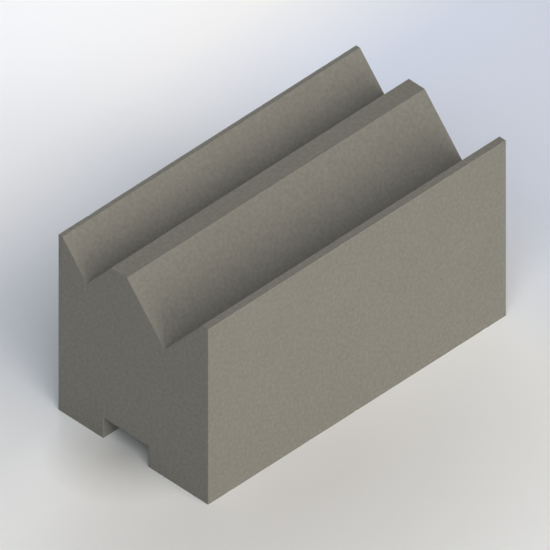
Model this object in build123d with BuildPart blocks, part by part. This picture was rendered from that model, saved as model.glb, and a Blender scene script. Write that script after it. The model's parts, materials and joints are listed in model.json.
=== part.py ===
from build123d import *

import math
import os

# Precast concrete block with two lengthwise V-grooves in its top and a channel along its underside.
#
# The block is one pour of concrete around a tied cage of reinforcing steel. Millimetres, +Z up.
# X runs along the block, Y across it. The origin is the middle of the underside, on the floor.
# Every bar, tie and spacer of the cage is a separate solid, and the concrete has a void for each.

# Outside of the block
LENGTH = 1510
WIDTH = 760
HEIGHT = 815
SMALL_RIM = 20  # flat top outside the small groove, at +Y
SMALL_MOUTH = 248
RIDGE = 80  # flat top between the grooves
LARGE_MOUTH = 380
GROOVE_ANGLE = 81.4  # between the two flanks of either groove
CHANNEL_WIDTH = 228
CHANNEL_HEIGHT = 95
CHANNEL_FROM_SIDE = 228  # from the +Y side to the channel
ARRIS = 2  # chamfer left by the mould on the outer edges

# Reinforcement
COVER = 40
LINK = 8  # bar diameter of links, cross ties and hairpins
MAIN = 12  # bar diameter of the lengthwise bars
GAP = 1  # mortar between two bars that cross
BEND = 20  # bend radius at the middle of a link
LINK_SETS = 7
SET_SPACING = 20  # from a crown link to the base link beside it
CROWN_LEG_END = 240  # height at which a crown link's legs stop
BASE_LEG_END = 560
SIDE_BAR_HEIGHTS = (190, 330, 470, 600)
TIED_SIDE_BAR = 330  # the side bars that the cross ties hook over
HOOK = 60
HAIRPIN_HEIGHTS = (255, 400)
HAIRPIN_LEG = 420

# Tie wire at a crossing
WIRE = 1.4
TIE_RADIUS = 13  # middle of the wire, in a ring slantwise round the bar and the link

# Wheel spacer that holds the cage off the mould
SKIN = 1  # mortar between the wheel and the mould
WHEEL_THICKNESS = 8
WHEEL_RIM = 3
HUB = 18
SPOKE = 3
SPOKES = 6
CLIP_CLEAR = 0.3
LOWER_WHEEL_HEIGHT = 125
UPPER_WHEEL_HEIGHT = 580
WHEEL_SETS = (1, 5)  # link sets that carry wheels

half_angle = math.radians(GROOVE_ANGLE / 2)
half_length = LENGTH / 2
side = WIDTH / 2
small_depth = SMALL_MOUTH / 2 / math.tan(half_angle)
large_depth = LARGE_MOUTH / 2 / math.tan(half_angle)
small_outer = side - SMALL_RIM
small_root = (small_outer - SMALL_MOUTH / 2, HEIGHT - small_depth)
ridge_small = small_outer - SMALL_MOUTH
ridge_large = ridge_small - RIDGE
large_root = (ridge_large - LARGE_MOUTH / 2, HEIGHT - large_depth)
large_outer = ridge_large - LARGE_MOUTH
channel_small = side - CHANNEL_FROM_SIDE
channel_large = channel_small - CHANNEL_WIDTH

# Distances that the cage is set out from
link_in = COVER + LINK / 2  # face of the block to the middle of a link
bar_in = LINK / 2 + GAP + MAIN / 2  # middle of a link to the middle of a lengthwise bar
link_side = side - link_in
across_flank = link_in / math.cos(half_angle)  # the same cover, measured level
below_root = link_in / math.sin(half_angle)
ridge_mid = (ridge_small + ridge_large) / 2
ridge_bend = RIDGE / 2 + link_in * math.tan(half_angle) - across_flank


def rim_bend_height(rim):
    """Height at which the middle lines of a side leg and a flank leg meet under a rim."""
    return HEIGHT - (across_flank + link_in - rim) / math.tan(half_angle)


crown_points = [
    (link_side, CROWN_LEG_END),
    (link_side, rim_bend_height(SMALL_RIM)),
    (small_root[0], small_root[1] - below_root),
    (ridge_mid + ridge_bend, HEIGHT - link_in),
    (ridge_mid - ridge_bend, HEIGHT - link_in),
    (large_root[0], large_root[1] - below_root),
    (-link_side, rim_bend_height(large_outer + side)),
    (-link_side, CROWN_LEG_END),
]
base_points = [
    (link_side, BASE_LEG_END),
    (link_side, link_in),
    (channel_small + link_in, link_in),
    (channel_small + link_in, CHANNEL_HEIGHT + link_in),
    (channel_large - link_in, CHANNEL_HEIGHT + link_in),
    (channel_large - link_in, link_in),
    (-link_side, link_in),
    (-link_side, BASE_LEG_END),
]


def crossing_at_bend(points, index, inside):
    """Where a lengthwise bar crosses a link's bend: the bar's middle, and the way to the link.

    Inside a bend the bar lies against its inner face, and outside it against its outer face.
    """
    before, corner, after = (Vector(*points[index + k]) for k in (-1, 0, 1))
    to_middle = ((before - corner).normalized() + (after - corner).normalized()).normalized()
    half_corner = math.radians((before - corner).get_angle(after - corner)) / 2
    bend_middle = corner + to_middle * (BEND / math.sin(half_corner))
    reach = BEND - bar_in if inside else BEND + bar_in
    return bend_middle - to_middle * reach, to_middle * (-1 if inside else 1)


def crossing_on_leg(y, z, to_link):
    """Where a lengthwise bar crosses a straight part of a link."""
    return Vector(y, z), Vector(*to_link)


# Each crossing holds the bar's middle in Y and Z, and the unit vector from it to the link.
crown_crossings = {
    "small_rim_bar": crossing_at_bend(crown_points, 1, True),
    "small_groove_bar": crossing_at_bend(crown_points, 2, False),
    "ridge_bar_small_side": crossing_at_bend(crown_points, 3, True),
    "ridge_bar_large_side": crossing_at_bend(crown_points, 4, True),
    "large_groove_bar": crossing_at_bend(crown_points, 5, False),
    "large_rim_bar": crossing_at_bend(crown_points, 6, True),
}
base_crossings = {
    "small_foot_outer_bar": crossing_at_bend(base_points, 1, True),
    "small_foot_inner_bar": crossing_at_bend(base_points, 2, True),
    "channel_corner_bar_small_side": crossing_at_bend(base_points, 3, False),
    "channel_corner_bar_large_side": crossing_at_bend(base_points, 4, False),
    "large_foot_inner_bar": crossing_at_bend(base_points, 5, True),
    "large_foot_outer_bar": crossing_at_bend(base_points, 6, True),
}
base_crossings["channel_roof_bar"] = crossing_on_leg(
    (channel_small + channel_large) / 2, CHANNEL_HEIGHT + link_in + bar_in, (0, -1)
)
for row, height in enumerate(SIDE_BAR_HEIGHTS, start=1):
    for name, way in (("small", 1), ("large", -1)):
        crossing = crossing_on_leg(way * (link_side - bar_in), height, (way, 0))
        if height > CROWN_LEG_END:
            crown_crossings[f"{name}_side_bar_{row}"] = crossing
        if height < BASE_LEG_END:
            base_crossings[f"{name}_side_bar_{row}"] = crossing

first_link = link_in - half_length
last_link = half_length - link_in
set_pitch = (last_link - first_link - SET_SPACING) / (LINK_SETS - 1)
crown_places = [first_link + i * set_pitch for i in range(LINK_SETS)]
base_places = [x + SET_SPACING for x in crown_places]
cross_tie_places = [
    (base_places[i] + crown_places[i + 1]) / 2 for i in range(LINK_SETS - 1)
]

inner_pieces = []  # every solid that the concrete is cast around


def keep(name, part):
    """Writes one node of the cage, and remembers it for the concrete."""
    part.label = name
    export_step(part, f"parts/{name}.step")
    inner_pieces.append(part)


def bent_bar(plane, points, diameter, bends):
    """A round bar along straight legs with a bend at each corner."""
    with BuildPart() as bar:
        with BuildLine(plane) as middle:
            FilletPolyline(*points, radius=bends)
        with BuildSketch(Plane(origin=middle.line @ 0, z_dir=middle.line % 0)):
            Circle(diameter / 2)
        sweep()
    return bar.part


def make_links():
    """Crown links follow the grooves, base links go round the feet and the channel."""
    for i in range(LINK_SETS):
        crown = bent_bar(Plane.YZ.offset(crown_places[i]), crown_points, LINK, BEND)
        keep(f"crown_link_{i + 1}", crown)
        base = bent_bar(Plane.YZ.offset(base_places[i]), base_points, LINK, BEND)
        keep(f"base_link_{i + 1}", base)


def make_lengthwise_bars():
    """Straight bars from end to end, one in each corner of the links and up both sides."""
    for name, (middle, _) in {**crown_crossings, **base_crossings}.items():
        with BuildPart() as bar:
            with BuildSketch(Plane.YZ.offset(COVER - half_length)):
                with Locations((middle.X, middle.Y)):
                    Circle(MAIN / 2)
            extrude(amount=LENGTH - 2 * COVER)
        keep(name, bar.part)


def make_cross_ties():
    """Level ties that hook down over the side bars between the link sets."""
    nest = (BEND - bar_in) / math.sqrt(2)
    reach = link_side - bar_in - nest + BEND
    top = TIED_SIDE_BAR - nest + BEND
    points = [(reach, top - HOOK), (reach, top), (-reach, top), (-reach, top - HOOK)]
    for i, x in enumerate(cross_tie_places, start=1):
        keep(f"cross_tie_{i}", bent_bar(Plane.YZ.offset(x), points, LINK, BEND))


def make_hairpins():
    """Level U-bars behind each end face, with their legs along both sides."""
    cross = half_length - link_in - LINK - GAP
    leg = link_side - LINK - GAP
    for end, way in (("left", -1), ("right", 1)):
        for row, height in zip(("lower", "upper"), HAIRPIN_HEIGHTS):
            tip = way * (cross - HAIRPIN_LEG)
            points = [(tip, leg), (way * cross, leg), (way * cross, -leg), (tip, -leg)]
            hairpin = bent_bar(Plane.XY.offset(height), points, LINK, BEND)
            keep(f"{end}_end_hairpin_{row}", hairpin)


def tie_wire():
    """One tie in its own frame: the bar along X, the link along Y, the link's side at +Z."""
    ring = Plane((0, 0, (bar_in + LINK / 2 - MAIN / 2) / 2), x_dir=(1, 1, 0), z_dir=(1, -1, 0))
    with BuildPart(ring) as tie:
        Torus(TIE_RADIUS, WIRE / 2)
    return tie.part


def make_tie_wires():
    """A ring of wire round every other crossing of each link set."""
    tie = tie_wire()
    for i in range(LINK_SETS):
        ties = []
        for crossings, x in ((crown_crossings, crown_places[i]), (base_crossings, base_places[i])):
            for j, (middle, to_link) in enumerate(crossings.values()):
                if (i + j) % 2:
                    continue
                seat = Plane(
                    (x, middle.X, middle.Y), x_dir=(1, 0, 0), z_dir=(0, to_link.X, to_link.Y)
                )
                ties.append(seat.location * tie)
        keep(f"tie_wires_{i + 1}", Compound(children=ties))


def wheel_spacer():
    """One wheel in its own frame: it clips on a link that runs along Z, with its mouth at -X."""
    radius = link_in - SKIN
    with BuildPart() as wheel:
        with BuildSketch():
            Circle(radius)
            Circle(radius - WHEEL_RIM, mode=Mode.SUBTRACT)
            with PolarLocations(0, SPOKES, start_angle=180 / SPOKES):
                with Locations((radius / 2, 0)):
                    Rectangle(radius - WHEEL_RIM, SPOKE)
            Circle(HUB / 2)
            Circle(LINK / 2 + CLIP_CLEAR, mode=Mode.SUBTRACT)
            with Locations((-radius / 2, 0)):
                Rectangle(radius + WHEEL_RIM, LINK - 1, mode=Mode.SUBTRACT)
        extrude(amount=WHEEL_THICKNESS / 2, both=True)
    return wheel.part


def make_spacers():
    """Wheels on the side legs and on the flank legs of the crown links."""
    wheel = wheel_spacer()
    with BuildPart() as bore:
        Cylinder(LINK / 2 + CLIP_CLEAR, WHEEL_THICKNESS)
    places = {"side_spacers_lower": [], "side_spacers_upper": []}
    places |= {"small_groove_spacers": [], "large_groove_spacers": []}
    for i in WHEEL_SETS:
        for way in (1, -1):
            low = Plane((base_places[i], way * link_side, LOWER_WHEEL_HEIGHT), x_dir=(0, way, 0))
            high = Plane((crown_places[i], way * link_side, UPPER_WHEEL_HEIGHT), x_dir=(0, way, 0))
            places["side_spacers_lower"].append(low)
            places["side_spacers_upper"].append(high)
        for groove, first in (("small", 1), ("large", 4)):
            for leg in (first, first + 1):
                start, end = Vector(*crown_points[leg]), Vector(*crown_points[leg + 1])
                middle, along = (start + end) / 2, (end - start).normalized()
                out = Vector(-along.Y, along.X)
                out = out if out.Y > 0 else -out
                seat = Plane(
                    (crown_places[i], middle.X, middle.Y),
                    x_dir=(0, out.X, out.Y),
                    z_dir=(0, along.X, along.Y),
                )
                places[f"{groove}_groove_spacers"].append(seat)
    for name, seats in places.items():
        keep(name, Compound(children=[seat.location * wheel for seat in seats]))
        inner_pieces.extend(seat.location * bore.part for seat in seats)


def make_concrete():
    """The whole block as cast, with a void for every piece of the cage."""
    with BuildPart() as block:
        with BuildSketch(Plane.YZ.offset(-half_length)):
            with BuildLine():
                Polyline(
                    (side, 0),
                    (side, HEIGHT),
                    (small_outer, HEIGHT),
                    small_root,
                    (ridge_small, HEIGHT),
                    (ridge_large, HEIGHT),
                    large_root,
                    (large_outer, HEIGHT),
                    (-side, HEIGHT),
                    (-side, 0),
                    (channel_large, 0),
                    (channel_large, CHANNEL_HEIGHT),
                    (channel_small, CHANNEL_HEIGHT),
                    (channel_small, 0),
                    close=True,
                )
            make_face()
        extrude(amount=LENGTH)
        outer_edges = [
            edge
            for edge in block.edges().filter_by(Axis.X)
            if round(edge.center().Z, 3) in (0, HEIGHT)
        ]
        chamfer(outer_edges, ARRIS)
        add(inner_pieces, mode=Mode.SUBTRACT)
    block.part.label = "concrete_block"
    export_step(block.part, "parts/concrete_block.step")
    return block.part


os.makedirs("parts", exist_ok=True)
make_links()
make_lengthwise_bars()
make_cross_ties()
make_hairpins()
make_tie_wires()
make_spacers()
make_concrete()
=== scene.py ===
"""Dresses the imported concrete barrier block: the cast surface, its steel cage and a plain studio.

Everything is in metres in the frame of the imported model. X runs along the block, Y across it
towards the small groove, and Z is up from the surface that it stands on.
"""

import json
import math
import random

import bmesh
import bpy
from bpy.props import FloatProperty, FloatVectorProperty, IntProperty, PointerProperty
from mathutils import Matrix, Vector, noise
from mathutils.geometry import delaunay_2d_cdt


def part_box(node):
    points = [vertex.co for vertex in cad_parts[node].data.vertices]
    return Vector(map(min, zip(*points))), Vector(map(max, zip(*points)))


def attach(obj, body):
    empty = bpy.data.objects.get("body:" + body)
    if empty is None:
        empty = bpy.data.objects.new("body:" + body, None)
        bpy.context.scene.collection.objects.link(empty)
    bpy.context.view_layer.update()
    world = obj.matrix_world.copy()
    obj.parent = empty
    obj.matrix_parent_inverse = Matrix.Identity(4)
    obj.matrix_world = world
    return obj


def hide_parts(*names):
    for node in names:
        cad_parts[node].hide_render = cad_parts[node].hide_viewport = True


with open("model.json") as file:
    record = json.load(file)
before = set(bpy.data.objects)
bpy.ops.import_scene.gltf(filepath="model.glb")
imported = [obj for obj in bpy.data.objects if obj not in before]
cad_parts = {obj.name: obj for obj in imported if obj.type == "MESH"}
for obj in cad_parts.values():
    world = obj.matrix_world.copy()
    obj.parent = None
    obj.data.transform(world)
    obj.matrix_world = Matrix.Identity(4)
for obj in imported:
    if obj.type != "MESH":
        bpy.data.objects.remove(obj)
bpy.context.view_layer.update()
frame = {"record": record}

bl_info = {
    "name": "Concrete barrier block",
    "version": (1, 0, 0),
    "blender": (4, 5, 0),
    "location": "3D View > Sidebar > Block",
    "description": "Cast surface, reinforcement finishes and studio for a grooved concrete block",
    "category": "Object",
}

BLOCK_NODE = "concrete_block"
BLOCK_LOW, BLOCK_HIGH = (Vector(corner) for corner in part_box(BLOCK_NODE))

# The mesh of the block, in metres unless it says otherwise
ARC_STEPS = 4  # flat steps round one worn arris
SUPPORT = 0.0016  # narrow strip beside an arris, which keeps the faces flat in shading
SMOOTH_ANGLE = math.radians(32)  # edges sharper than this stay sharp
ARRIS_WANDER = 0.35  # share by which an arris radius wanders along the block
WANDER_RATE = 31.0  # noise cells per metre
LANE_STEP = 5.17  # keeps the noise of one arris apart from the next
END_ARRIS = 0.8  # arris radius at the two ends, as a share of the usual radius
END_INSET = 0.9  # how far an end arris turns in, as a share of its radius
CHIP_FROM_END = 0.02
CHIP_REACH = (0.006, 0.020)  # shortest and longest reach along the arris
CHIP_DEPTH = (0.0010, 0.0040)  # least depth, and the most that can be added to it
SLOW_DIP = 5.3  # noise cells per metre in the slow waves of a face
QUICK_DIP = 23.0
QUICK_DIP_START = Vector((3.1, 0.0, 0.0))
SLOW_SHARE = 0.75  # of the waviness, that the slow waves make
FULL_QUAD = 0.6  # share of the mesh spacing that a quad needs before a pit can be cut in it

# An air pit, in shares of its own radius
PIT_SIDES = 8
PIT_RINGS = ((1.0, 0.0), (0.62, 0.7))  # how wide each ring is, and how deep it lies
PIT_DEPTH = 0.9
PIT_SHARE = (0.10, 0.26)  # least radius as a share of its quad, and the most that can be added
END_PITS = 16  # the long faces have this many pits for each one in an end
END_PIT_RADIUS = (0.0008, 0.0020)  # least radius in metres, and the most that can be added
END_PIT_UNEVEN = 0.2  # how unevenly the corners of an end pit stand, in steps
END_PIT_MARGIN = 0.02
END_MESH_MARGIN = 0.006
PIT_ROOM = 0.003  # free of other points round an end pit
SAME_POINT = 1e-7

# The stage, in metres
FLOOR_HALF = 15.0
FLOOR_GAP = 0.0002
CAMERA_AWAY = 6.0
POOL_SIZE = (2.4, 1.4)
POOL_SPREAD = math.radians(110)
POOL_COLOUR = (0.64, 0.76, 1.0)
POOL_PLACE = Vector((0.8, BLOCK_HIGH.y + 1.72, 1.9))

# The floor's painted light and shade, and the stretches over which they come in
PAINTED_SHADE_SQUEEZE = (0.55, 1.0, 0.0)  # the painted shade reaches further along the block than across it
PAINTED_SHADE_MIDDLE = (-0.19, -0.50, 0.0)  # after the squeeze
# painted shade close in front of the long side, and painted light, paler than the plain floor,
# further out
PAINTED_SHADE_REACH = (0.1, 0.95)
PAINTED_SHADE_TONE = (0.73, 0.715, 0.70)
PAINTED_LIGHT_TONE = (0.98, 0.98, 0.97)
PAINTED_FRONT_Y = (0.0, 0.35)  # the painted shade and painted light give way to the plain floor here
# painted cool shade on the floor to the right of the block
PAINTED_COOL_SHADE_X = (0.65, 1.25)
PAINTED_COOL_SHADE_TONE = (0.765, 0.805, 0.90)
# painted warm light on the floor far behind the block
PAINTED_LIGHT_BEHIND_Y = (0.95, 1.5)
PAINTED_LIGHT_BEHIND_TONE = (0.97, 0.93, 0.87)
PAINTED_SHADE_AT_MOUTH = (-0.76, 0.04, 0.0)  # the near end of the channel, where the painted shade on the floor is deepest
PAINTED_SHADE_AT_MOUTH_REACH = 0.3
PAINTED_SHADE_AT_MOUTH_TONE = (0.64, 0.63, 0.61)

# Soft lamps: name, level direction they stand in, degrees above level, strength, colour
LAMPS = (
    ("low_side_lamp", (0.0, -1.0), 12, 1.47, (1.0, 0.99, 0.866)),
    ("middle_side_lamp", (0.0, -1.0), 35, 0.76, (1.0, 0.888, 0.814)),
    ("high_side_lamp", (0.0, -1.0), 60, 0.25, (1.0, 0.80, 0.66)),
    ("corner_lamp", (-1.0, -1.0), 45, 1.83, (0.876, 0.939, 1.0)),
    ("back_lamp", (1.0, 1.0), 5, 1.25, (0.93, 0.96, 1.0)),
)


# ---------------------------------------------------------------------------- settings


class BlockShape(bpy.types.PropertyGroup):
    """Section of the block, and how worn its cast surface is."""

    small_rim: FloatProperty(
        name="Small rim", description="Flat top outside the small groove",
        default=0.020, unit="LENGTH",
    )
    small_mouth: FloatProperty(
        name="Small groove", description="Width of the small groove at the top",
        default=0.248, unit="LENGTH",
    )
    ridge: FloatProperty(
        name="Ridge", description="Flat top between the grooves",
        default=0.080, unit="LENGTH",
    )
    large_mouth: FloatProperty(
        name="Large groove", description="Width of the large groove at the top",
        default=0.380, unit="LENGTH",
    )
    groove_angle: FloatProperty(
        name="Groove angle", description="Angle between the two flanks of a groove",
        default=math.radians(81.4), subtype="ANGLE",
    )
    channel_offset: FloatProperty(
        name="Channel offset", description="From the small groove's side to the channel",
        default=0.228, unit="LENGTH",
    )
    channel_width: FloatProperty(
        name="Channel width", description="Width of the channel in the underside",
        default=0.228, unit="LENGTH",
    )
    channel_height: FloatProperty(
        name="Channel height", description="Height of the channel in the underside",
        default=0.095, unit="LENGTH",
    )
    arris: FloatProperty(
        name="Arris radius", description="Usual radius of the cast outer edges",
        default=0.0018, unit="LENGTH",
    )
    chips: IntProperty(
        name="Chips", description="Small chips along the outer edges", default=46,
    )
    pits: IntProperty(
        name="Air pits", description="Small air pits left in the cast faces", default=320,
    )
    station: FloatProperty(
        name="Mesh step along", description="Mesh spacing along the block",
        default=0.0078, unit="LENGTH",
    )
    row: FloatProperty(
        name="Mesh step across", description="Mesh spacing across a face",
        default=0.014, unit="LENGTH",
    )
    waviness: FloatProperty(
        name="Waviness", description="How far the cast faces dip from true",
        default=0.0004, unit="LENGTH",
    )
    seed: IntProperty(name="Seed", description="Seed of the chips and pits", default=7)


class ConcreteFinish(bpy.types.PropertyGroup):
    """Colours and grain of the cast concrete."""

    paste: FloatVectorProperty(
        name="Cement paste", description="Usual colour of the cast face",
        default=(0.203, 0.193, 0.167), subtype="COLOR",
    )
    pale: FloatVectorProperty(
        name="Pale bloom", description="Colour where lime has come to the face",
        default=(0.252, 0.243, 0.217), subtype="COLOR",
    )
    dark: FloatVectorProperty(
        name="Dark paste", description="Colour where the paste is dense",
        default=(0.154, 0.1455, 0.1226), subtype="COLOR",
    )
    mottle_size: FloatProperty(
        name="Mottle size", description="Size of the fine mottling",
        default=0.014, unit="LENGTH",
    )
    sand_size: FloatProperty(
        name="Sand size", description="Size of the sand grain in the face",
        default=0.0011, unit="LENGTH",
    )


class CageFinish(bpy.types.PropertyGroup):
    """Colours of the steel, the wire and the spacers."""

    scale: FloatVectorProperty(
        name="Mill scale", description="Dark skin of hot-rolled bar",
        default=(0.060, 0.052, 0.048), subtype="COLOR",
    )
    rust: FloatVectorProperty(
        name="Rust", description="Bloom of rust on bar",
        default=(0.230, 0.082, 0.030), subtype="COLOR",
    )
    wire: FloatVectorProperty(
        name="Annealed wire", description="Black annealed tie wire",
        default=(0.030, 0.028, 0.027), subtype="COLOR",
    )
    plastic: FloatVectorProperty(
        name="Spacer plastic", description="Moulded grey plastic",
        default=(0.110, 0.115, 0.120), subtype="COLOR",
    )


class Studio(bpy.types.PropertyGroup):
    """Floor, light and camera."""

    floor_colour: FloatVectorProperty(
        name="Floor", description="Colour of the plain floor",
        default=(0.80, 0.80, 0.80), subtype="COLOR",
    )
    sky_colour: FloatVectorProperty(
        name="Surround light", description="Colour of the even light from all round",
        default=(0.930, 0.955, 1.0), subtype="COLOR",
    )
    sky_strength: FloatProperty(
        name="Surround strength", description="Strength of the even light", default=0.07,
    )
    soften: FloatProperty(
        name="Softness", description="How wide each soft lamp looks from the block",
        default=math.radians(45.0), subtype="ANGLE",
    )
    brightness: FloatProperty(
        name="Brightness", description="Scales all the soft lamps together", default=1.0,
    )
    pool_power: FloatProperty(
        name="Pool power", description="Power of the light on the floor behind the block",
        default=8.4, unit="POWER",
    )
    azimuth: FloatProperty(
        name="Camera azimuth", description="Way the camera faces, from +Y towards -X",
        default=math.radians(-45.0), subtype="ANGLE",
    )
    elevation: FloatProperty(
        name="Camera elevation", description="Height of the camera above level",
        default=math.radians(39.46), subtype="ANGLE",
    )
    view_width: FloatProperty(
        name="View width", description="Width that the parallel camera takes in",
        default=1.9725, unit="LENGTH",
    )
    aside: FloatProperty(
        name="Camera aside", description="How far the camera stands left of the block's middle",
        default=0.0258, unit="LENGTH",
    )


# ---------------------------------------------------------------------------- the cast mesh


def section_corners(shape):
    """Corners of the block's section as (y, z), anticlockwise from the foot at +Y."""
    side_small, side_large = BLOCK_HIGH.y, BLOCK_LOW.y
    floor, top = BLOCK_LOW.z, BLOCK_HIGH.z
    slope = math.tan(shape.groove_angle / 2)
    small_outer = side_small - shape.small_rim
    ridge_small = small_outer - shape.small_mouth
    ridge_large = ridge_small - shape.ridge
    large_outer = ridge_large - shape.large_mouth
    channel_small = side_small - shape.channel_offset
    channel_large = channel_small - shape.channel_width
    roof = floor + shape.channel_height
    return [
        Vector(point)
        for point in (
            (side_small, floor),
            (side_small, top),
            (small_outer, top),
            ((small_outer + ridge_small) / 2, top - shape.small_mouth / 2 / slope),
            (ridge_small, top),
            (ridge_large, top),
            ((ridge_large + large_outer) / 2, top - shape.large_mouth / 2 / slope),
            (large_outer, top),
            (side_large, top),
            (side_large, floor),
            (channel_large, floor),
            (channel_large, roof),
            (channel_small, roof),
            (channel_small, floor),
        )
    ]


def outward(direction):
    """The outward normal of a stretch of an anticlockwise outline."""
    return Vector((direction.y, -direction.x))


def stands_out(corners, index):
    """True where the outline turns outwards, so that the edge is an arris."""
    ahead = corners[(index + 1) % len(corners)] - corners[index]
    behind = corners[index] - corners[index - 1]
    return behind.cross(ahead) > 0


def section_loop(corners, radii, row):
    """Points of one section, as (place, outward normal, corner number or None).

    Arrises are arcs of the given radii. Every section has its points in the same order.
    """
    loop = []
    count = len(corners)
    for index, corner in enumerate(corners):
        after = corners[(index + 1) % count]
        behind = (corner - corners[index - 1]).normalized()
        ahead = (after - corner).normalized()
        reach = 0.0
        if stands_out(corners, index):
            turn = behind.angle(ahead)
            reach = radii[index] * math.tan(turn / 2)
            middle = corner - behind * reach - outward(behind) * radii[index]
            for step in range(ARC_STEPS + 1):
                share = step / ARC_STEPS
                way = outward(behind).slerp(outward(ahead), share)
                loop.append((middle + way * radii[index], way, index))
        else:
            mitre = (outward(behind) + outward(ahead)).normalized()
            mitre = mitre / mitre.dot(outward(ahead))
            loop.append((corner.copy(), mitre, None))
        next_index = (index + 1) % count
        next_reach = 0.0
        if stands_out(corners, next_index):
            next_turn = ahead.angle((corners[(next_index + 1) % count] - after).normalized())
            next_reach = radii[next_index] * math.tan(next_turn / 2)
        length = (after - corner).length
        start, end = reach + SUPPORT, length - next_reach - SUPPORT
        rows = max(1, round(length / row))
        for step in range(rows + 1):
            place = corner + ahead * (start + (end - start) * step / rows)
            loop.append((place, outward(ahead), None))
    return loop


def wander(x, lane):
    """A slow repeatable number from about -1 to 1 along the block, different in each lane."""
    return noise.noise(Vector((x * WANDER_RATE, lane * LANE_STEP, 0.4)))


class Chips:
    """Chips knocked out of the arrises, each one a place, a reach and a depth."""

    def __init__(self, draw, corners, count):
        arrises = [i for i in range(len(corners)) if stands_out(corners, i)]
        self.all = []
        for _ in range(count):
            place = draw.uniform(BLOCK_LOW.x + CHIP_FROM_END, BLOCK_HIGH.x - CHIP_FROM_END)
            reach = draw.uniform(*CHIP_REACH)
            depth = CHIP_DEPTH[0] + CHIP_DEPTH[1] * draw.random() ** 3
            self.all.append((draw.choice(arrises), place, reach, depth))

    def extra(self, corner, x):
        """How much a chip adds to the arris radius here."""
        total = 0.0
        for lane, place, reach, depth in self.all:
            away = abs(x - place) / reach
            if lane == corner and away < 1.0:
                total = max(total, depth * (1 - away * away))
        return total


def stations(shape):
    """Places along the block of its sections, closer together at the two ends."""
    length = BLOCK_HIGH.x - BLOCK_LOW.x
    edge = shape.arris * END_ARRIS
    inner = edge + SUPPORT
    span = length - 2 * inner
    count = round(span / shape.station)
    places = [BLOCK_LOW.x + edge]
    places += [BLOCK_LOW.x + inner + span * i / count for i in range(count + 1)]
    return places + [BLOCK_HIGH.x - edge]


def dip(shape, point):
    """How far the cast face lies inside its true plane at a point, never outside it."""
    slow = 0.5 + 0.5 * noise.noise(point * SLOW_DIP)
    quick = 0.5 + 0.5 * noise.noise(point * QUICK_DIP + QUICK_DIP_START)
    return shape.waviness * (SLOW_SHARE * slow + (1 - SLOW_SHARE) * quick)


def add_end(bm, loop_verts, loop_2d, corners, draw, shape, x):
    """Fills one end of the block with a triangle mesh, fine enough for air pits."""
    points = [point.copy() for point in loop_2d]
    edges = [(i, (i + 1) % len(points)) for i in range(len(points))]
    depths = [0.0] * len(points)

    def clear(point, margin):
        """True if a point is inside the outline by the margin."""
        inside = False
        for i, corner in enumerate(corners):
            other = corners[i - 1]
            if (corner.y > point.y) != (other.y > point.y):
                slope = (other.x - corner.x) / (other.y - corner.y)
                if point.x < corner.x + slope * (point.y - corner.y):
                    inside = not inside
            along = other - corner
            share = max(0.0, min(1.0, (point - corner).dot(along) / along.length_squared))
            if (point - corner - along * share).length < margin:
                return False
        return inside

    pits = []
    while len(pits) < shape.pits // END_PITS:
        centre = Vector((
            draw.uniform(BLOCK_LOW.y, BLOCK_HIGH.y), draw.uniform(BLOCK_LOW.z, BLOCK_HIGH.z)
        ))
        if clear(centre, END_PIT_MARGIN):
            pits.append((centre, END_PIT_RADIUS[0] + END_PIT_RADIUS[1] * draw.random() ** 2))
    for centre, radius in pits:
        for share, depth in PIT_RINGS:
            for step in range(PIT_SIDES):
                uneven = draw.uniform(-END_PIT_UNEVEN, END_PIT_UNEVEN)
                turn = math.tau * (step + uneven) / PIT_SIDES
                points.append(centre + Vector((math.cos(turn), math.sin(turn))) * radius * share)
                depths.append(depth * radius)
        points.append(centre)
        depths.append(PIT_DEPTH * radius)
    y = BLOCK_LOW.y + shape.row / 2
    while y < BLOCK_HIGH.y:
        z = BLOCK_LOW.z + shape.row / 2
        while z < BLOCK_HIGH.z:
            point = Vector((y, z))
            near_pit = any(
                (point - centre).length < radius + PIT_ROOM for centre, radius in pits
            )
            if clear(point, END_MESH_MARGIN) and not near_pit:
                points.append(point)
                depths.append(0.0)
            z += shape.row
        y += shape.row
    flat, _, faces, origin, _, _ = delaunay_2d_cdt(points, edges, [], 1, SAME_POINT)
    inward = 1.0 if x < 0 else -1.0
    verts = []
    for number, place in enumerate(flat):
        source = origin[number][0]
        if source < len(loop_verts):
            verts.append(loop_verts[source])
            continue
        spot = Vector((x, place.x, place.y))
        verts.append(bm.verts.new(spot + Vector((inward * depths[source], 0.0, 0.0))))
    for face in faces:
        bm.faces.new([verts[i] for i in face])


def add_pits(bm, quads, draw, count):
    """Cuts small round air pits into chosen quads of the cast faces."""
    for face in draw.sample(quads, count):
        corners = [loop.vert for loop in face.loops]
        middle = face.calc_center_median()
        normal = face.normal.copy()
        across = (corners[1].co - corners[0].co).normalized()
        over = normal.cross(across)
        size = min((corners[1].co - corners[0].co).length, (corners[2].co - corners[1].co).length)
        radius = size * (PIT_SHARE[0] + PIT_SHARE[1] * draw.random() ** 2)
        first_way = corners[0].co - middle
        start = math.atan2(first_way.dot(over), first_way.dot(across))
        rings = []
        for share, depth in PIT_RINGS:
            ring = []
            for step in range(PIT_SIDES):
                turn = start + math.tau * step / PIT_SIDES
                way = across * math.cos(turn) + over * math.sin(turn)
                ring.append(bm.verts.new(middle + way * radius * share - normal * radius * depth))
            rings.append(ring)
        floor = bm.verts.new(middle - normal * radius * PIT_DEPTH)
        bm.faces.remove(face)
        rim, low = rings
        for i, corner in enumerate(corners):
            first, second, third = (rim[(2 * i + k) % PIT_SIDES] for k in range(3))
            after = corners[(i + 1) % 4]
            bm.faces.new([corner, second, first])
            bm.faces.new([corner, after, second])
            bm.faces.new([after, third, second])
        for step in range(PIT_SIDES):
            following = (step + 1) % PIT_SIDES
            bm.faces.new([rim[step], rim[following], low[following], low[step]])
            bm.faces.new([low[step], low[following], floor])


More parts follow.
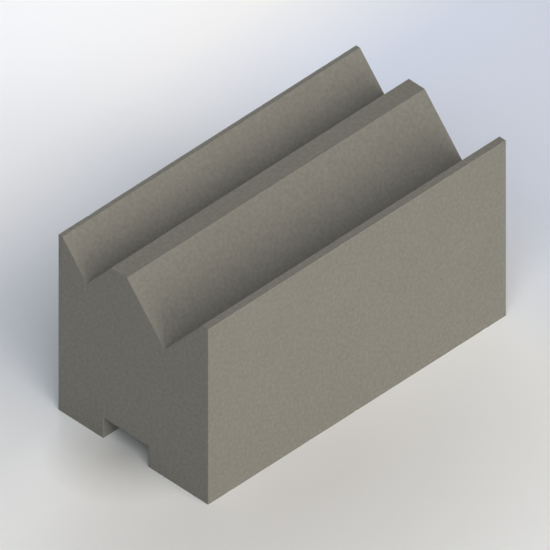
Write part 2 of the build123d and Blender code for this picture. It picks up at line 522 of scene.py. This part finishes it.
def cast_block(shape):
    """The whole outer surface of the block as one closed mesh, with its arrises and pits."""
    draw = random.Random(shape.seed)
    corners = section_corners(shape)
    chips = Chips(draw, corners, shape.chips)
    bm = bmesh.new()
    worn = bm.verts.layers.float.new("worn")
    rings = []

    def ring_at(x, loop, inset=0.0, wave=True):
        """One ring of vertices round the block."""
        ring = []
        for place, way, corner in loop:
            spot = place - way * inset
            point = Vector((x, spot.x, spot.y))
            if wave and corner is None:
                depth = dip(shape, point) * min(1.0, way.length)
                point -= Vector((0.0, way.x, way.y)) * depth
            vert = bm.verts.new(point)
            vert[worn] = 0.0 if corner is None else 1.0
            ring.append(vert)
        return ring

    def loop_at(x):
        """The section here, with the arris radii of this place along the block."""
        radii = [
            shape.arris * (1.0 + ARRIS_WANDER * wander(x, i)) + chips.extra(i, x)
            for i in range(len(corners))
        ]
        return section_loop(corners, radii, shape.row)

    places = stations(shape)
    end_radius = shape.arris * END_ARRIS
    ends = []
    for x, way in ((BLOCK_LOW.x, 1.0), (BLOCK_HIGH.x, -1.0)):
        loop = loop_at(x)
        turned = []
        for step in range(ARC_STEPS, 0, -1):
            turn = math.pi / 2 * step / ARC_STEPS
            inset = end_radius * (1 - math.cos(turn)) * END_INSET
            along = x + way * end_radius * (1 - math.sin(turn))
            turned.append((along, loop, inset))
        ends.append(turned)
    for along, loop, inset in ends[0]:
        rings.append(ring_at(along, loop, inset, wave=False))
    for x in places:
        rings.append(ring_at(x, loop_at(x)))
    for along, loop, inset in reversed(ends[1]):
        rings.append(ring_at(along, loop, inset, wave=False))
    quads = []
    for ring, following in zip(rings, rings[1:]):
        for i in range(len(ring)):
            j = (i + 1) % len(ring)
            face = bm.faces.new([ring[i], ring[j], following[j], following[i]])
            across = (ring[i].co - ring[j].co).length
            along = (ring[i].co - following[i].co).length
            if across > shape.row * FULL_QUAD and along > shape.station * FULL_QUAD:
                quads.append(face)
    bm.normal_update()
    add_pits(bm, quads, draw, shape.pits)
    for ring, x in ((rings[0], BLOCK_LOW.x), (rings[-1], BLOCK_HIGH.x)):
        flat = [Vector((vert.co.y, vert.co.z)) for vert in ring]
        add_end(bm, ring, flat, corners, draw, shape, x)
    bmesh.ops.recalc_face_normals(bm, faces=bm.faces)
    mesh = bpy.data.meshes.new("cast_block")
    bm.to_mesh(mesh)
    bm.free()
    mesh.shade_smooth()
    mesh.set_sharp_from_angle(angle=SMOOTH_ANGLE)
    return mesh


# ---------------------------------------------------------------------------- materials


def new_material(name):
    """A new node material, with its node tree and its shader."""
    material = bpy.data.materials.new(name)
    material.use_nodes = True
    tree = material.node_tree
    shader = tree.nodes["Principled BSDF"]
    return material, tree, shader


def add_node(tree, kind, inputs=None, **settings):
    """Adds a node, with its settings and its input values."""
    node = tree.nodes.new(kind)
    for name, value in settings.items():
        setattr(node, name, value)
    for name, value in (inputs or {}).items():
        node.inputs[name].default_value = value
    return node


def join(tree, output, socket):
    """Links an output to an input."""
    tree.links.new(output, socket)


def add_noise(tree, where, size, detail=3.0, roughness=0.5):
    """Noise whose features are about this size in metres."""
    node = add_node(
        tree, "ShaderNodeTexNoise", {"Scale": 1 / size, "Detail": detail, "Roughness": roughness}
    )
    join(tree, where, node.inputs["Vector"])
    return node.outputs["Fac"]


def add_range(tree, value, low, high, to_low, to_high):
    """Maps a value from one range to another, and holds it there."""
    node = add_node(
        tree, "ShaderNodeMapRange",
        {"From Min": low, "From Max": high, "To Min": to_low, "To Max": to_high},
    )
    join(tree, value, node.inputs["Value"])
    return node.outputs["Result"]


def add_mix(tree, factor, first, second, blend="MIX"):
    """Mixes two colours, each a plain colour or another node's output, by a node's output."""
    node = add_node(tree, "ShaderNodeMix", data_type="RGBA", blend_type=blend)
    join(tree, factor, node.inputs[0])
    for value, socket in ((first, 6), (second, 7)):
        if isinstance(value, bpy.types.NodeSocket):
            join(tree, value, node.inputs[socket])
        else:
            node.inputs[socket].default_value = (*value, 1.0)
    return node.outputs[2]


def add_bump(tree, height, distance, strength=1.0, under=None):
    """A bump of the given height in metres, on top of another bump."""
    node = add_node(tree, "ShaderNodeBump", {"Strength": strength, "Distance": distance})
    join(tree, height, node.inputs["Height"])
    if under is not None:
        join(tree, under, node.inputs["Normal"])
    return node.outputs["Normal"]


def add_distance(tree, where, point):
    """How far a place is from a point, in metres."""
    node = add_node(tree, "ShaderNodeVectorMath", {1: point}, operation="DISTANCE")
    join(tree, where, node.inputs[0])
    return node.outputs["Value"]


def concrete_material(finish):
    """Fine cast concrete: cloudy tone, fine mottling, sand grain and paler worn edges."""
    material, tree, shader = new_material("cast_concrete")
    where = add_node(tree, "ShaderNodeTexCoord").outputs["Object"]
    cloud = add_noise(tree, where, 0.30, detail=4.0, roughness=0.55)
    patch = add_noise(tree, where, 0.055, detail=4.0, roughness=0.6)
    mottle = add_noise(tree, where, finish.mottle_size, detail=1.0, roughness=0.4)
    sand = add_noise(tree, where, finish.sand_size, detail=2.0, roughness=0.7)
    clouds = add_range(tree, cloud, 0.3, 0.7, 0.0, 0.16)
    cloudy = add_mix(tree, clouds, finish.paste, finish.pale)
    patches = add_range(tree, patch, 0.46, 0.75, 0.0, 0.14)
    patchy = add_mix(tree, patches, cloudy, finish.dark)
    mottles = add_range(tree, mottle, 0.28, 0.72, 0.0, 0.55)
    mottled = add_mix(tree, mottles, patchy, finish.dark)
    grains = add_range(tree, sand, 0.48, 0.72, 0.0, 0.30)
    grained = add_mix(tree, grains, mottled, finish.pale)
    worn = add_node(tree, "ShaderNodeAttribute", attribute_name="worn").outputs["Fac"]
    rubbed = add_node(tree, "ShaderNodeMath", operation="MULTIPLY")
    join(tree, worn, rubbed.inputs[0])
    join(tree, add_range(tree, patch, 0.35, 0.65, 0.1, 0.6), rubbed.inputs[1])
    edged = add_mix(tree, rubbed.outputs["Value"], grained, finish.pale)
    join(tree, edged, shader.inputs["Base Color"])
    join(tree, add_range(tree, mottle, 0.3, 0.7, 0.82, 0.94), shader.inputs["Roughness"])
    shader.inputs["Specular IOR Level"].default_value = 0.35
    soft = add_bump(tree, mottle, 0.00025, 0.5)
    join(tree, add_bump(tree, sand, 0.00012, 0.6, soft), shader.inputs["Normal"])
    return material


def bar_material(finish):
    """Hot-rolled bar: dark mill scale with a bloom of rust."""
    material, tree, shader = new_material("reinforcing_bar")
    where = add_node(tree, "ShaderNodeTexCoord").outputs["Object"]
    bloom = add_noise(tree, where, 0.045, detail=6.0, roughness=0.65)
    speck = add_noise(tree, where, 0.0016, detail=3.0)
    share = add_range(tree, bloom, 0.42, 0.62, 0.05, 0.85)
    rusted = add_mix(tree, share, finish.scale, finish.rust)
    spots = add_range(tree, speck, 0.5, 0.7, 0.0, 0.4)
    specked = add_mix(tree, spots, rusted, finish.rust)
    join(tree, specked, shader.inputs["Base Color"])
    join(tree, add_range(tree, share, 0.05, 0.85, 0.45, 0.9), shader.inputs["Roughness"])
    join(tree, add_range(tree, share, 0.05, 0.85, 0.7, 0.0), shader.inputs["Metallic"])
    join(tree, add_bump(tree, speck, 0.0001, 0.6), shader.inputs["Normal"])
    return material


def wire_material(finish):
    """Black annealed wire with a faint drawn grain."""
    material, tree, shader = new_material("annealed_wire")
    where = add_node(tree, "ShaderNodeTexCoord").outputs["Object"]
    grain = add_noise(tree, where, 0.0012, detail=3.0)
    tinge = add_range(tree, grain, 0.5, 0.8, 0.0, 0.3)
    colour = add_mix(tree, tinge, finish.wire, finish.rust)
    join(tree, colour, shader.inputs["Base Color"])
    join(tree, add_range(tree, grain, 0.3, 0.7, 0.4, 0.65), shader.inputs["Roughness"])
    shader.inputs["Metallic"].default_value = 0.6
    return material


def plastic_material(finish):
    """Moulded grey plastic with a fine mould texture."""
    material, tree, shader = new_material("spacer_plastic")
    where = add_node(tree, "ShaderNodeTexCoord").outputs["Object"]
    grain = add_noise(tree, where, 0.0008, detail=2.0)
    flow = add_noise(tree, where, 0.02, detail=2.0)
    paler = tuple(1.35 * value for value in finish.plastic)
    streak = add_range(tree, flow, 0.35, 0.7, 0.0, 0.5)
    colour = add_mix(tree, streak, finish.plastic, paler)
    join(tree, colour, shader.inputs["Base Color"])
    join(tree, add_range(tree, grain, 0.3, 0.7, 0.45, 0.6), shader.inputs["Roughness"])
    join(tree, add_bump(tree, grain, 0.00005, 0.5), shader.inputs["Normal"])
    return material


def floor_material(colour):
    """Pale floor with painted light and shade: painted shade close in front of the block and at the
    channel's end, painted light further out and far behind, painted cool shade to the right.
    """
    material, tree, shader = new_material("studio_floor")
    where = add_node(tree, "ShaderNodeTexCoord").outputs["Object"]
    haze = add_noise(tree, where, 1.5, detail=2.0)
    paler = tuple(min(1.0, 1.02 * value) for value in colour)
    mixed = add_mix(tree, add_range(tree, haze, 0.3, 0.7, 0.0, 1.0), colour, paler)
    apart = add_node(tree, "ShaderNodeSeparateXYZ")
    join(tree, where, apart.inputs["Vector"])
    # painted shade close in front of the block, giving way to painted light further out
    squeezed = add_node(tree, "ShaderNodeVectorMath", {1: PAINTED_SHADE_SQUEEZE}, operation="MULTIPLY")
    join(tree, where, squeezed.inputs[0])
    away = add_distance(tree, squeezed.outputs["Vector"], PAINTED_SHADE_MIDDLE)
    painted_shade_and_light = add_mix(tree, add_range(tree, away, *PAINTED_SHADE_REACH, 0.0, 1.0), PAINTED_SHADE_TONE, PAINTED_LIGHT_TONE)
    front = add_range(tree, apart.outputs["Y"], *PAINTED_FRONT_Y, 1.0, 0.0)
    front_painted = add_mix(tree, front, mixed, painted_shade_and_light)
    # painted cool shade on the floor to the right
    right = add_range(tree, apart.outputs["X"], *PAINTED_COOL_SHADE_X, 0.0, 1.0)
    cool_shade_painted = add_mix(tree, right, front_painted, PAINTED_COOL_SHADE_TONE)
    # painted warm light on the floor far behind the block
    behind = add_range(tree, apart.outputs["Y"], *PAINTED_LIGHT_BEHIND_Y, 0.0, 1.0)
    light_behind_painted = add_mix(tree, behind, cool_shade_painted, PAINTED_LIGHT_BEHIND_TONE)
    # painted shade on the floor at the channel's near end
    mouth_shade_share = add_range(tree, add_distance(tree, where, PAINTED_SHADE_AT_MOUTH), 0.0, PAINTED_SHADE_AT_MOUTH_REACH, 1.0, 0.0)
    mouth_shade_painted = add_mix(tree, mouth_shade_share, light_behind_painted, PAINTED_SHADE_AT_MOUTH_TONE, "MULTIPLY")
    join(tree, mouth_shade_painted, shader.inputs["Base Color"])
    shader.inputs["Roughness"].default_value = 0.22
    shader.inputs["Specular IOR Level"].default_value = 0.5
    return material


# ---------------------------------------------------------------------------- operators


def place_object(name, data):
    """Puts a new object in the scene."""
    thing = bpy.data.objects.new(name, data)
    bpy.context.scene.collection.objects.link(thing)
    return thing


def nodes_in_slot(slot):
    """Names of the model's nodes that take a material slot."""
    return [row["node"] for row in frame["record"]["subparts"] if row["material_slot"] == slot]


class BLOCK_OT_cast(bpy.types.Operator):
    """Builds the cast concrete surface that stands for the plain block"""

    bl_idname = "block.cast"
    bl_label = "Cast concrete"

    def execute(self, context):
        block = place_object("cast_concrete_block", cast_block(context.scene.block_shape))
        block.data.materials.append(concrete_material(context.scene.concrete_finish))
        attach(block, "root")
        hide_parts(BLOCK_NODE)
        return {"FINISHED"}


class BLOCK_OT_cage(bpy.types.Operator):
    """Gives the bars, links, ties and spacers inside the block their finishes"""

    bl_idname = "block.cage"
    bl_label = "Finish the cage"

    def execute(self, context):
        finish = context.scene.cage_finish
        makers = {
            "reinforcing_steel": bar_material,
            "tie_wire": wire_material,
            "spacer_plastic": plastic_material,
        }
        for slot, make in makers.items():
            material = make(finish)
            for name in nodes_in_slot(slot):
                for holder in bpy.data.objects[name].material_slots:
                    holder.material = material
        return {"FINISHED"}


class BLOCK_OT_studio(bpy.types.Operator):
    """Sets the floor, the soft lights and the camera"""

    bl_idname = "block.studio"
    bl_label = "Set the studio"

    def execute(self, context):
        studio = context.scene.studio
        self.add_floor(studio)
        self.add_light(context, studio)
        self.add_camera(context, studio)
        context.scene.view_settings.view_transform = "Standard"
        return {"FINISHED"}

    def add_floor(self, studio):
        """A wide plain floor just under the block."""
        under = BLOCK_LOW.z - FLOOR_GAP
        mesh = bpy.data.meshes.new("studio_floor")
        corners = [
            (x * FLOOR_HALF, y * FLOOR_HALF, under) for x, y in ((-1, -1), (1, -1), (1, 1), (-1, 1))
        ]
        mesh.from_pydata(corners, [], [(0, 1, 2, 3)])
        mesh.materials.append(floor_material(studio.floor_colour))
        place_object("studio_floor", mesh)

    def add_light(self, context, studio):
        """Even light from all round, soft lamps towards the long side, and a pool behind."""
        world = bpy.data.worlds.new("surround")
        world.use_nodes = True
        background = world.node_tree.nodes["Background"]
        background.inputs["Color"].default_value = (*studio.sky_colour, 1.0)
        background.inputs["Strength"].default_value = studio.sky_strength
        context.scene.world = world
        for name, way, rise, strength, colour in LAMPS:
            lamp = bpy.data.lights.new(name, "SUN")
            lamp.angle = studio.soften
            lamp.energy = strength * studio.brightness
            lamp.color = colour
            height = math.radians(rise)
            level = Vector((*way, 0.0)).normalized() * math.cos(height)
            towards = level + Vector((0.0, 0.0, math.sin(height)))
            holder = place_object(name, lamp)
            holder.rotation_euler = (-towards).to_track_quat("-Z", "Y").to_euler()
        pool = bpy.data.lights.new("back_pool", "AREA")
        pool.shape = "RECTANGLE"
        pool.size, pool.size_y = POOL_SIZE
        pool.spread = POOL_SPREAD
        pool.energy = studio.pool_power
        pool.color = POOL_COLOUR
        place_object("back_pool", pool).location = POOL_PLACE

    def add_camera(self, context, studio):
        """A parallel camera above the corner between the long side and an end."""
        lens = bpy.data.cameras.new("camera")
        lens.type = "ORTHO"
        lens.ortho_scale = studio.view_width
        camera = place_object("camera", lens)
        turn, rise = studio.azimuth, studio.elevation
        right = Vector((math.cos(turn), math.sin(turn), 0.0))
        level = Vector((-math.sin(turn), math.cos(turn), 0.0))
        ahead = level * math.cos(rise) - Vector((0.0, 0.0, math.sin(rise)))
        middle = (BLOCK_LOW + BLOCK_HIGH) / 2
        camera.location = middle - right * studio.aside - ahead * CAMERA_AWAY
        camera.rotation_euler = ahead.to_track_quat("-Z", "Y").to_euler()
        context.scene.camera = camera


class BLOCK_PT_panel(bpy.types.Panel):
    """Lists the block's steps and their settings"""

    bl_label = "Concrete barrier block"
    bl_idname = "BLOCK_PT_panel"
    bl_space_type = "VIEW_3D"
    bl_region_type = "UI"
    bl_category = "Block"

    def draw(self, context):
        for operator, groups in STEPS:
            box = self.layout.box()
            box.operator(operator.bl_idname)
            for group in groups:
                settings = getattr(context.scene, group)
                for name in settings.__annotations__:
                    box.prop(settings, name)


GROUPS = {
    "block_shape": BlockShape,
    "concrete_finish": ConcreteFinish,
    "cage_finish": CageFinish,
    "studio": Studio,
}
STEPS = (
    (BLOCK_OT_cast, ("block_shape", "concrete_finish")),
    (BLOCK_OT_cage, ("cage_finish",)),
    (BLOCK_OT_studio, ("studio",)),
)
CLASSES = (*GROUPS.values(), BLOCK_OT_cast, BLOCK_OT_cage, BLOCK_OT_studio, BLOCK_PT_panel)


def register():
    """Registers the classes, and puts their settings on the scene."""
    for part in CLASSES:
        bpy.utils.register_class(part)
    for name, group in GROUPS.items():
        setattr(bpy.types.Scene, name, PointerProperty(type=group))


def unregister():
    """Takes the settings and the classes away again."""
    for name in GROUPS:
        delattr(bpy.types.Scene, name)
    for part in reversed(CLASSES):
        bpy.utils.unregister_class(part)


def main():
    """Makes the whole scene."""
    register()
    bpy.ops.block.cast()
    bpy.ops.block.cage()
    bpy.ops.block.studio()


if __name__ == "__main__":
    main()
